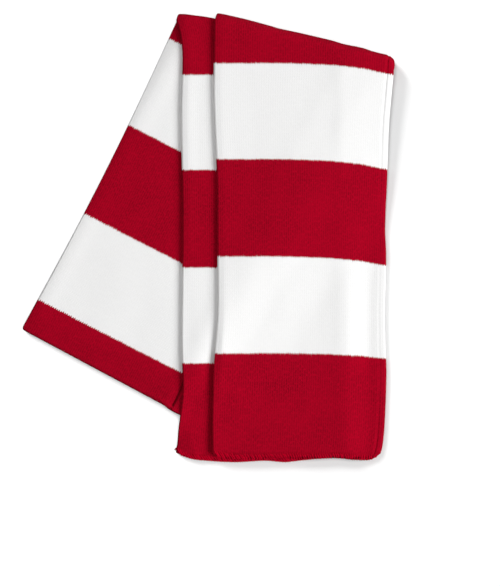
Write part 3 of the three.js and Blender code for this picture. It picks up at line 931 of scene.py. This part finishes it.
shader.inputs["Sheen Roughness"].default_value = 0.6
shader.inputs["Sheen Tint"].default_value = (1.0, 0.35, 0.38, 1.0)
for piece in (upper_knit, under_knit, front_knit, back_knit):
    piece.data.materials.append(knit)
print(knit.name, "has", len(tree.nodes), "nodes")

# %% Seam yarn material with painted light
seam_yarn, tree, shader = new_material("red seam yarn")
place = tree.nodes.new("ShaderNodeTexCoord").outputs["Object"]
LIT_RED = (0.78, 0.0, 0.028, 1.0)
# Painted light: noise mixes the yarn towards a red twice as bright, so the loops look lit; it swings
# along the yarn like its twist.
twist_and_painted_light = noise(tree, place, 900.0, 2.0)
tree.links.new(mix_colours(tree, twist_and_painted_light, RED, LIT_RED), shader.inputs["Base Color"])
shader.inputs["Roughness"].default_value = 0.9
shader.inputs["Specular IOR Level"].default_value = 0.03
for piece in (upper_hem, under_hem, under_roll, upper_tuft, under_tuft):
    piece.data.materials.append(seam_yarn)
print(seam_yarn.name, "has", len(tree.nodes), "nodes")

# %% Raw edge material with painted shade
edge_painted_shade, tree, shader = new_material("red edge in painted shade")
place = tree.nodes.new("ShaderNodeTexCoord").outputs["Object"]
# Painted shade: in patches the upper hem's rolled edge is near black, a broken line of shade along
# that hem.
PAINTED_SHADE_RED = (0.05, 0.0, 0.002, 1.0)
painted_shade_patches = ramp(tree, noise(tree, place, 38.0, 1.0), 0.44, 0.56)
tree.links.new(mix_colours(tree, painted_shade_patches, RED, PAINTED_SHADE_RED), shader.inputs["Base Color"])
shader.inputs["Roughness"].default_value = 0.95
shader.inputs["Specular IOR Level"].default_value = 0.02
upper_roll.data.materials.append(edge_painted_shade)
print(edge_painted_shade.name, "has", len(tree.nodes), "nodes")

# %% [markdown]
# ## Floor, light and camera
# The scarf lies on a plain pale floor, seen square from above through a long lens. One soft
# light could do for both, but the folds are lit from the right, while the shadow on the floor
# falls away from the upper left. So cloth and floor have lights of their own, through light
# linking: a low one from the right draws the folds, a faint one from behind lifts the top
# edges, and the floor throws no light back at the cloth, so that folds darken at their edges.

# %% Floor
floor_mesh = bpy.data.meshes.new("floor")
REACH = 3.0
floor_mesh.from_pydata([(-REACH, -REACH, 0), (REACH, -REACH, 0), (REACH, REACH, 0),
                        (-REACH, REACH, 0)], [], [(0, 1, 2, 3)])
floor = bpy.data.objects.new("floor", floor_mesh)
floor_cloth, tree, shader = new_material("pale floor")
shader.inputs["Base Color"].default_value = (0.93, 0.93, 0.93, 1.0)
shader.inputs["Roughness"].default_value = 0.9
floor_mesh.materials.append(floor_cloth)
bpy.context.collection.objects.link(floor)
floor.visible_diffuse = False
print("the floor reaches", REACH, "m each way")

# %% Light of the room
world = bpy.context.scene.world or bpy.data.worlds.new("studio")
bpy.context.scene.world = world
world.use_nodes = True
background = next(node for node in world.node_tree.nodes if node.type == "BACKGROUND")
background.inputs[0].default_value = (1.0, 1.0, 1.0, 1.0)
background.inputs[1].default_value = 0.09
print("the room's own light is", round(background.inputs[1].default_value, 2))


# %% Lamps
def soft_light(name, turn, rise, distance, size, power, only=None):
    """A square lamp on a sphere round the scarf, turned to its middle: turn is its angle from
    the right, rise its height angle. It lights only the given objects where they are named."""
    lamp = bpy.data.lights.new(name, "AREA")
    lamp.shape = "SQUARE"
    lamp.size = size
    lamp.energy = power
    holder = bpy.data.objects.new(name, lamp)
    turn, rise = np.radians(turn), np.radians(rise)
    spot = np.array([np.cos(turn) * np.cos(rise), np.sin(turn) * np.cos(rise), np.sin(rise)])
    holder.location = Vector(spot * distance)
    holder.rotation_euler = Vector(spot).to_track_quat("Z", "Y").to_euler()
    bpy.context.collection.objects.link(holder)
    if only:
        lit = bpy.data.collections.new(name + " lights")
        for piece in only:
            lit.objects.link(piece)
        holder.light_linking.receiver_collection = lit
    print(name, "at", [round(v, 2) for v in holder.location])
    return holder


SEAMS = [upper_hem, upper_roll, upper_tuft, under_hem, under_roll, under_tuft]
CLOTHS = [upper_knit, under_knit, front_knit, back_knit, *SEAMS]
FAR = 6.0
soft_light("light from the right", -14, 34, FAR, size=3.3, power=398.0, only=CLOTHS)
soft_light("light from above", 0, 90, 2.6, size=1.6, power=17.0)
soft_light("faint light from behind", 100, 15, FAR, size=2.4, power=90.0, only=CLOTHS)
soft_light("floor light from above", 0, 90, 2.9, size=2.4, power=50.0, only=[floor])
soft_light("floor light from the left", 132, 25, FAR, size=2.0, power=370.0, only=[floor])

# %% Camera
PIXEL, PIXELS_HIGH = 0.001, 586
MIDDLE_X, MIDDLE_Y, CLOTH_TOP = 0.042, -0.055, 0.008
LENS, SENSOR = 120.0, 36.0
camera_data = bpy.data.cameras.new("camera")
camera_data.lens = LENS
camera_data.sensor_width = SENSOR
camera = bpy.data.objects.new("camera", camera_data)
far = PIXELS_HIGH * PIXEL * LENS / SENSOR
camera.location = (MIDDLE_X + SHIFT[0] * MM, MIDDLE_Y, far + CLOTH_TOP)
bpy.context.collection.objects.link(camera)
bpy.context.scene.camera = camera
bpy.context.scene.view_settings.view_transform = "Standard"
print("camera is", round(far, 3), "m above the cloth")

# %% [markdown]
# ## Who stands for what
# Each skin replaces its solid and takes the knit's finish. The tube is knitted as one piece, but
# each stretch is a piece of its own here, and a stretch is as long as its own bars. The tube is
# knitted as one piece and could be told as one sheet, but each stretch is a piece of its own
# here.

def stretch_length(bar):
    """Length of a stretch along its middle column: its bars times their height."""
    return (bar[-1, HALF // 2] - bar[0, HALF // 2]) * BAR * MM


for piece, node in ((upper_knit, "upper_end"), (under_knit, "under_end"),
                    (front_knit, "middle_front"), (back_knit, "middle_back")):
    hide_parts(node)
for piece in CLOTHS:
    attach(piece, "root")
all_bars = (upper_bar, under_bar, front_bar, back_bar)
print("the stretches are", round(sum(stretch_length(bar) for bar in all_bars), 2), "m long in all")
